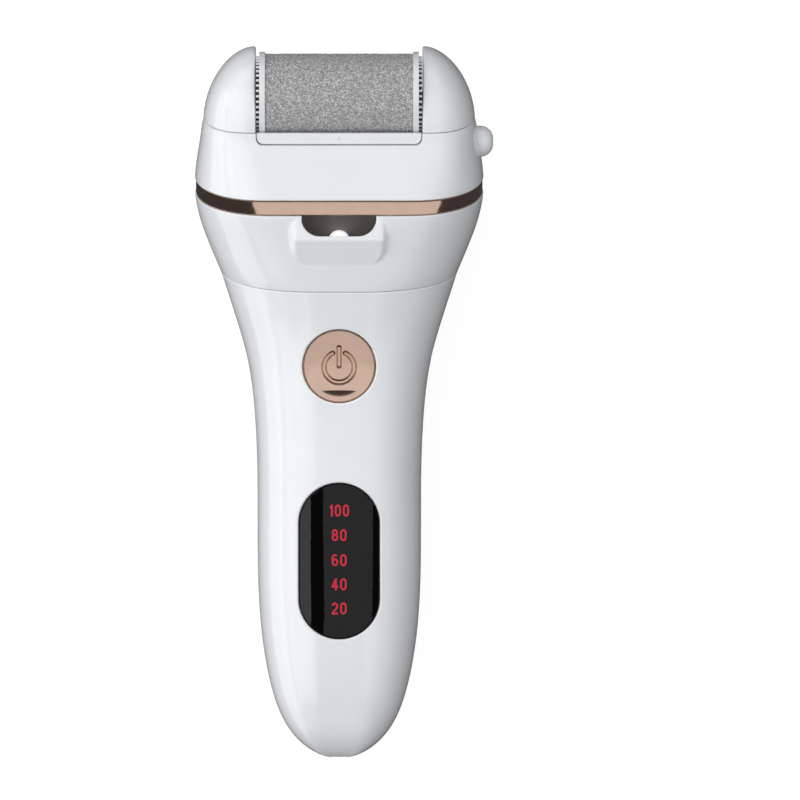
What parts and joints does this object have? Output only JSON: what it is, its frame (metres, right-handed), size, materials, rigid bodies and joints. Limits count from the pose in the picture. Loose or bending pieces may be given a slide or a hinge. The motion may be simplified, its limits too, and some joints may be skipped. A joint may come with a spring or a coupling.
{
  "type": "electric callus remover",
  "caption": "Hand-held electric callus remover: a tapered oval handle with a window and a round button, and a leaning head with a motor-driven grit roller in a lift-off cartridge.",
  "frame": {"origin": "middle of the flat strip along the back of the handle, 60 mm from the tail tip", "axes": "+Y from the tail to the head, +Z out of the front face, +X towards the release button"},
  "size_m": [0.0691, 0.165, 0.0489],
  "materials": {
    "white_shell": "gloss",
    "white_roller_end": "gloss",
    "white_inner": "matte",
    "rose_gold": "polished plating on plastic",
    "grit": "bonded grit",
    "black_window": "gloss, tinted",
    "steel": "bright steel",
    "dark_steel": "zinc plated",
    "nylon": "natural nylon",
    "bronze": "sintered bronze",
    "black_plastic": "satin",
    "board": "solder mask",
    "nickel": "nickel strip",
    "cell_wrap": "steel can in shrink film",
    "copper": "laminated iron with copper windings",
    "magnet": "sintered magnet",
    "lamp_clear": "clear epoxy",
    "red_wire": "insulation"
  },
  "bodies": {
    "handle": {"front_shell": "white_shell", "rear_shell": "white_shell", "head_collar": "white_shell", "head_housing": "white_shell", "trim_band": "rose_gold", "display_window": "black_window", "release_spring": "steel", "button_spring": "steel", "idler_pin": "steel", "gear_plate": "dark_steel", "motor_can": "dark_steel", "motor_end_cap": "black_plastic", "motor_terminals": "nickel", "motor_magnets": "magnet", "motor_screws": "steel", "motor_cradle": "black_plastic", "cradle_screws": "steel", "head_screws": "steel", "handle_screws": "steel", "lamp_led": "lamp_clear", "lamp_board": "board", "battery_cell": "cell_wrap", "cell_tabs": "nickel", "cell_saddles": "black_plastic", "main_board": "board", "board_screws": "steel", "display_block": "black_plastic", "tact_switch": "black_plastic", "control_chips": "black_plastic", "charging_socket": "black_plastic", "socket_wires": "red_wire", "motor_wires": "red_wire", "lamp_wires": "red_wire"},
    "cartridge": {"cartridge_frame": "white_shell", "cartridge_clip": "white_inner", "axle_bush_left": "bronze", "axle_bush_right": "bronze"},
    "roller": {"grit_sleeve": "grit", "roller_core": "white_inner", "roller_hub_left": "white_roller_end", "roller_hub_right": "white_roller_end", "roller_axle": "steel"},
    "idler": {"idler_gear": "nylon"},
    "motor_drive": {"motor_rotor": "copper", "motor_shaft": "steel", "motor_pinion": "bronze"},
    "release": {"release_button": "white_shell", "latch_slider": "nylon"},
    "power": {"power_button": "rose_gold", "switch_plunger": "black_plastic"}
  },
  "joints": [
    {"name": "cartridge_lift", "type": "slide", "parent": "handle", "child": "cartridge", "axis": [0, 0.9659, 0.2588], "range_m": [0, 0.035], "deforming": ["cartridge_clip"]},
    {"name": "roller_spin", "type": "hinge", "parent": "cartridge", "child": "roller", "pos_m": [0, 0.09308, 0.03632], "axis": [1, 0, 0], "continuous": true},
    {"name": "idler_spin", "type": "hinge", "parent": "handle", "child": "idler", "pos_m": [0.0195, 0.0787, 0.03247], "axis": [1, 0, 0], "continuous": true},
    {"name": "motor_spin", "type": "hinge", "parent": "handle", "child": "motor_drive", "pos_m": [0.005, 0.07293, 0.02625], "axis": [1, 0, 0], "continuous": true},
    {"name": "release_press", "type": "slide", "parent": "handle", "child": "release", "axis": [-1, 0, 0], "range_m": [0, 0.0014], "stiffness_N_per_m": 900, "springref_m": -0.001, "deforming": ["release_spring"]},
    {"name": "power_press", "type": "slide", "parent": "handle", "child": "power", "axis": [0, 0, -1], "range_m": [0, 0.0005], "stiffness_N_per_m": 1500, "springref_m": -0.0005, "deforming": ["button_spring"]}
  ],
  "couplings": [
    {"joint": "idler_spin", "follows": "roller_spin", "ratio": -1.6429},
    {"joint": "motor_spin", "follows": "roller_spin", "ratio": 3.2857}
  ]
}
